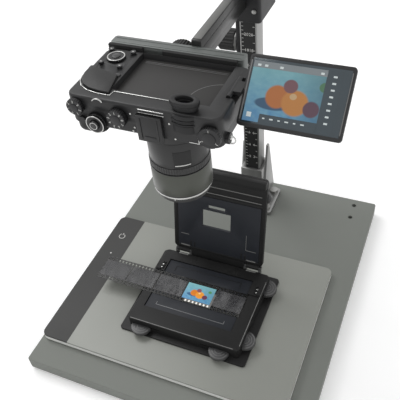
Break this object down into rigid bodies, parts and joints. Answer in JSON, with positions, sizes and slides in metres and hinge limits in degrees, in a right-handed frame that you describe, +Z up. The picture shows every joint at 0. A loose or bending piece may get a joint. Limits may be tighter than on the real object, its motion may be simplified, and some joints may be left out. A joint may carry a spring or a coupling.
{
  "type": "slide duplicator",
  "caption": "Film copying stand: grey board, column with a sliding arm, camera looking down through its lens at a film holder with an open lid on a thin light plate.",
  "frame": {"origin": "under the middle of the baseboard, on the surface it stands on", "axes": "+Z up, +Y from the front edge to the column, +X to the right seen from the front"},
  "size_m": [0.33, 0.38, 0.5],
  "materials": {
    "board_laminate": "matt mid grey laminate on fibreboard",
    "soft_rubber": "soft black rubber",
    "silver_metal": "satin anodised",
    "bolt_steel": "zinc plated",
    "scale_black": "matt black with plain white figures and ticks",
    "black_plastic": "fine grained",
    "plate_silver": "satin",
    "opal_diffuser": "warm light grey opal sheet",
    "control_band": "dark grey, printed ring",
    "clear_acrylic": "clear acrylic",
    "circuit_board": "solder mask",
    "battery_wrap": "shrink wrap",
    "holder_black": "satin black",
    "insert_black": "matt blue black",
    "grip_grey": "dark grey",
    "film_base": "semi-transparent film strip",
    "carriage_black": "textured powder coat",
    "glide_plastic": "white slide plastic",
    "arm_grey": "satin dark grey",
    "rail_grey": "grey anodised",
    "camera_black": "fine textured black",
    "grip_leather": "grained leatherette",
    "lens_black": "satin black with a grey green band",
    "lens_glass": "coated",
    "knob_black": "matt black",
    "dial_metal": "knurled, black anodised",
    "key_black": "smooth",
    "eyecup_rubber": "soft black rubber",
    "screen_picture": null
  },
  "bodies": {
    "stand": {"baseboard": "board_laminate", "board_feet": "soft_rubber", "column_foot": "silver_metal", "foot_bolts": "bolt_steel", "column": "silver_metal", "column_scale": "scale_black", "column_cap": "black_plastic", "light_housing": "plate_silver", "light_diffuser": "opal_diffuser", "control_strip": "control_band", "light_guide": "clear_acrylic", "led_strip": "circuit_board", "battery_pack": "battery_wrap", "light_feet": "soft_rubber", "power_socket": "black_plastic", "holder_base_plate": "holder_black", "film_stage": "holder_black", "stage_insert": "insert_black", "mask_tray": "holder_black", "hinge_brackets": "silver_metal", "hinge_pins": "bolt_steel", "film_guides": "holder_black"},
    "carriage": {"carriage_housing": "carriage_black", "glide_pads": "glide_plastic", "camera_arm": "arm_grey", "camera_rail": "rail_grey", "rail_pad": "soft_rubber", "camera_rear_shell": "camera_black", "camera_front_shell": "camera_black", "grip_cover": "grip_leather", "hot_shoe_cover": "black_plastic", "sensor_unit": "circuit_board", "lens_barrel": "lens_black", "lens_glass": "lens_glass"},
    "lid": {"lid_frame": "holder_black", "lid_insert": "insert_black", "lid_front_bar": "holder_black"},
    "screen": {"screen_housing": "camera_black", "screen_glass": "screen_picture"},
    "left_mask": {"left_mask": "grip_grey"},
    "right_mask": {"right_mask": "grip_grey"},
    "front_mask": {"front_mask": "grip_grey"},
    "back_mask": {"back_mask": "grip_grey"},
    "film_strip": {"film_strip": "film_base"},
    "lid_latch": {"lid_latch": "grip_grey"},
    "focus_ring": {"focus_ring": "lens_black"},
    "clamp_knob": {"clamp_knob": "knob_black"},
    "tripod_knob": {"tripod_knob": "knob_black"},
    "mode_dial": {"mode_dial": "dial_metal"},
    "release_dial": {"release_dial": "dial_metal"},
    "exposure_dial": {"exposure_dial": "dial_metal"},
    "drive_dial": {"drive_dial": "dial_metal"},
    "shutter_button": {"shutter_button": "dial_metal"},
    "rear_dial": {"rear_dial": "dial_metal"},
    "play_button": {"play_button": "key_black"},
    "menu_button": {"menu_button": "key_black"},
    "info_button": {"info_button": "key_black"},
    "zoom_button": {"zoom_button": "key_black"},
    "eyecup": {"eyecup": "eyecup_rubber"},
    "screen_hinge": {"screen_hinge": "black_plastic"}
  },
  "joints": [
    {"name": "carriage_slide", "type": "slide", "parent": "stand", "child": "carriage", "axis": [0, 0, 1], "range_m": [-0.1, 0.13]},
    {"name": "clamp_knob_turn", "type": "hinge", "parent": "carriage", "child": "clamp_knob", "pos_m": [0, 0.154, 0.269], "axis": [-1, 0, 0], "range_deg": [0, 180]},
    {"name": "tripod_knob_turn", "type": "hinge", "parent": "carriage", "child": "tripod_knob", "pos_m": [-0.022, 0.005, 0.324], "axis": [0, 1, 0], "range_deg": [0, 360]},
    {"name": "lid_hinge", "type": "hinge", "parent": "stand", "child": "lid", "pos_m": [0.0025, 0.004, 0.05025], "axis": [1, 0, 0], "range_deg": [0, 102]},
    {"name": "lid_latch_turn", "type": "hinge", "parent": "lid", "child": "lid_latch", "pos_m": [0.057, 0.02479, 0.14807], "axis": [0, 0.9781, -0.2079], "range_deg": [-90, 90]},
    {"name": "left_mask_slide", "type": "slide", "parent": "stand", "child": "left_mask", "axis": [1, 0, 0], "range_m": [0, 0.014]},
    {"name": "right_mask_slide", "type": "slide", "parent": "stand", "child": "right_mask", "axis": [-1, 0, 0], "range_m": [0, 0.014]},
    {"name": "front_mask_slide", "type": "slide", "parent": "stand", "child": "front_mask", "axis": [0, 1, 0], "range_m": [0, 0.01]},
    {"name": "back_mask_slide", "type": "slide", "parent": "stand", "child": "back_mask", "axis": [0, -1, 0], "range_m": [0, 0.01]},
    {"name": "film_slide", "type": "slide", "parent": "stand", "child": "film_strip", "axis": [1, 0, 0], "range_m": [-0.038, 0.114]},
    {"name": "screen_swing", "type": "hinge", "parent": "carriage", "child": "screen_hinge", "pos_m": [0.0563, -0.045, 0.343], "axis": [0, -1, 0], "range_deg": [0, 110]},
    {"name": "screen_tilt_turn", "type": "hinge", "parent": "screen_hinge", "child": "screen", "pos_m": [0.065, -0.045, 0.343], "axis": [1, 0, 0], "range_deg": [-44, 136]},
    {"name": "eyecup_tilt", "type": "hinge", "parent": "carriage", "child": "eyecup", "pos_m": [0.028, -0.0923, 0.3433], "axis": [1, 0, 0], "range_deg": [0, 60]},
    {"name": "mode_dial_turn", "type": "hinge", "parent": "carriage", "child": "mode_dial", "pos_m": [-0.032, -0.0934, 0.329], "axis": [0, -1, 0], "continuous": true},
    {"name": "release_dial_turn", "type": "hinge", "parent": "carriage", "child": "release_dial", "pos_m": [-0.055, -0.0934, 0.319], "axis": [0, -1, 0], "continuous": true},
    {"name": "exposure_dial_turn", "type": "hinge", "parent": "carriage", "child": "exposure_dial", "pos_m": [-0.073, -0.0934, 0.333], "axis": [0, -1, 0], "range_deg": [-110, 110]},
    {"name": "drive_dial_turn", "type": "hinge", "parent": "carriage", "child": "drive_dial", "pos_m": [0.053, -0.0934, 0.327], "axis": [0, -1, 0], "range_deg": [-60, 60]},
    {"name": "shutter_button_press", "type": "slide", "parent": "carriage", "child": "shutter_button", "axis": [0, 1, 0], "range_m": [0, 0.001], "stiffness_N_per_m": 400},
    {"name": "rear_dial_turn", "type": "hinge", "parent": "carriage", "child": "rear_dial", "pos_m": [-0.066, -0.029, 0.343], "axis": [0, 0, 1], "continuous": true},
    {"name": "focus_ring_turn", "type": "hinge", "parent": "carriage", "child": "focus_ring", "pos_m": [0, -0.053, 0.2614], "axis": [0, 0, 1], "continuous": true},
    {"name": "play_button_press", "type": "slide", "parent": "carriage", "child": "play_button", "axis": [0, 0, -1], "range_m": [0, 0.0008], "stiffness_N_per_m": 300},
    {"name": "menu_button_press", "type": "slide", "parent": "carriage", "child": "menu_button", "axis": [0, 0, -1], "range_m": [0, 0.0008], "stiffness_N_per_m": 300},
    {"name": "info_button_press", "type": "slide", "parent": "carriage", "child": "info_button", "axis": [0, 0, -1], "range_m": [0, 0.0008], "stiffness_N_per_m": 300},
    {"name": "zoom_button_press", "type": "slide", "parent": "carriage", "child": "zoom_button", "axis": [0, 0, -1], "range_m": [0, 0.0008], "stiffness_N_per_m": 300}
  ]
}
